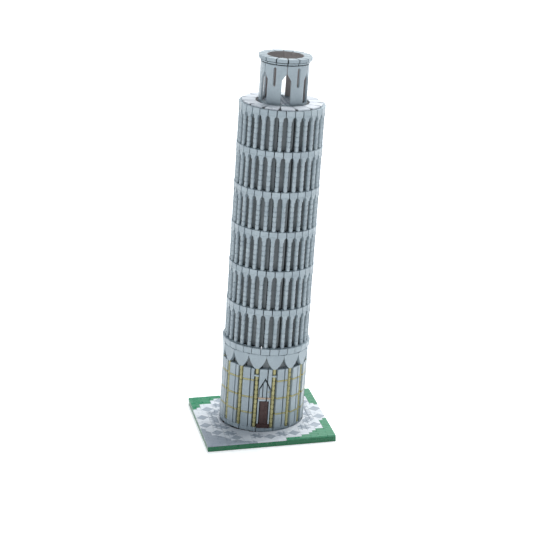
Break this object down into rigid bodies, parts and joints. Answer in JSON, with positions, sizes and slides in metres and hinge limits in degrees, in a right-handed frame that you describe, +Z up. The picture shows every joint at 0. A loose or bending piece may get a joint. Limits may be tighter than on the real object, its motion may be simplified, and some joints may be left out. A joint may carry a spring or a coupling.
{
  "type": "miniature landmark model",
  "caption": "Leaning round bell tower of white toy bricks with open column galleries, a tan-banded ground storey and a belfry, on a square green plate with a pale mosaic.",
  "frame": {"origin": "middle of the plate's underside", "axes": "+Z up; -Y towards the plate edge that the door faces; +X towards the side that the tower leans to"},
  "size_m": [0.2538, 0.248, 0.7329],
  "materials": {
    "white_brick": "moulded brick plastic, slightly glossy",
    "pale_tile": "white and light grey tiles, slightly glossy",
    "dark_grey_brick": "moulded brick plastic",
    "tan_brick": "moulded brick plastic",
    "green_brick": "moulded brick plastic",
    "brown_brick": "moulded brick plastic"
  },
  "bodies": {
    "root": {"base_slab": "green_brick", "base_mosaic": "pale_tile", "corner_back_left": "green_brick", "corner_back_right": "green_brick", "corner_front_right": "green_brick", "foot_block": "white_brick", "ground_core": "dark_grey_brick", "wall_bay_01": "white_brick", "wall_bay_02": "white_brick", "wall_bay_03": "white_brick", "wall_bay_04": "white_brick", "wall_bay_05": "white_brick", "wall_bay_06": "white_brick", "wall_bay_07": "white_brick", "wall_bay_08": "white_brick", "wall_bay_09": "white_brick", "wall_bay_10": "white_brick", "wall_bay_11": "white_brick", "wall_bay_12": "white_brick", "wall_bay_13": "white_brick", "wall_bay_14": "white_brick", "tan_column_00": "tan_brick", "tan_column_01": "tan_brick", "tan_column_02": "tan_brick", "tan_column_03": "tan_brick", "tan_column_04": "tan_brick", "tan_column_05": "tan_brick", "tan_column_06": "tan_brick", "tan_column_07": "tan_brick", "tan_column_08": "tan_brick", "tan_column_09": "tan_brick", "tan_column_10": "tan_brick", "tan_column_11": "tan_brick", "tan_column_12": "tan_brick", "tan_column_13": "tan_brick", "tan_column_14": "tan_brick", "door_surround": "white_brick", "door_gable": "white_brick", "door_sill": "brown_brick", "arcade_spandrels": "white_brick", "cornice_ring": "white_brick", "gallery_1": "white_brick", "gallery_2": "white_brick", "gallery_3": "white_brick", "gallery_4": "white_brick", "gallery_5": "white_brick", "gallery_6": "white_brick", "inner_wall": "dark_grey_brick", "deck_disc": "dark_grey_brick", "deck_tiles": "pale_tile"},
    "door": {"door_leaf": "brown_brick"},
    "belfry": {"belfry_sill": "white_brick", "belfry_panel_1": "white_brick", "belfry_panel_2": "white_brick", "belfry_panel_3": "white_brick", "belfry_panel_4": "white_brick", "belfry_panel_5": "white_brick", "belfry_panel_6": "white_brick", "belfry_cornice": "white_brick"}
  },
  "joints": [
    {"name": "door_hinge", "type": "hinge", "parent": "root", "child": "door", "pos_m": [-0.01367, -0.0743, 0.05144], "axis": [-0.0747, 0.0065, -0.9972], "range_deg": [0, 90]},
    {"name": "belfry_lift", "type": "slide", "parent": "root", "child": "belfry", "axis": [0.0747, -0.0065, 0.9972], "range_m": [0, 0.03]}
  ]
}
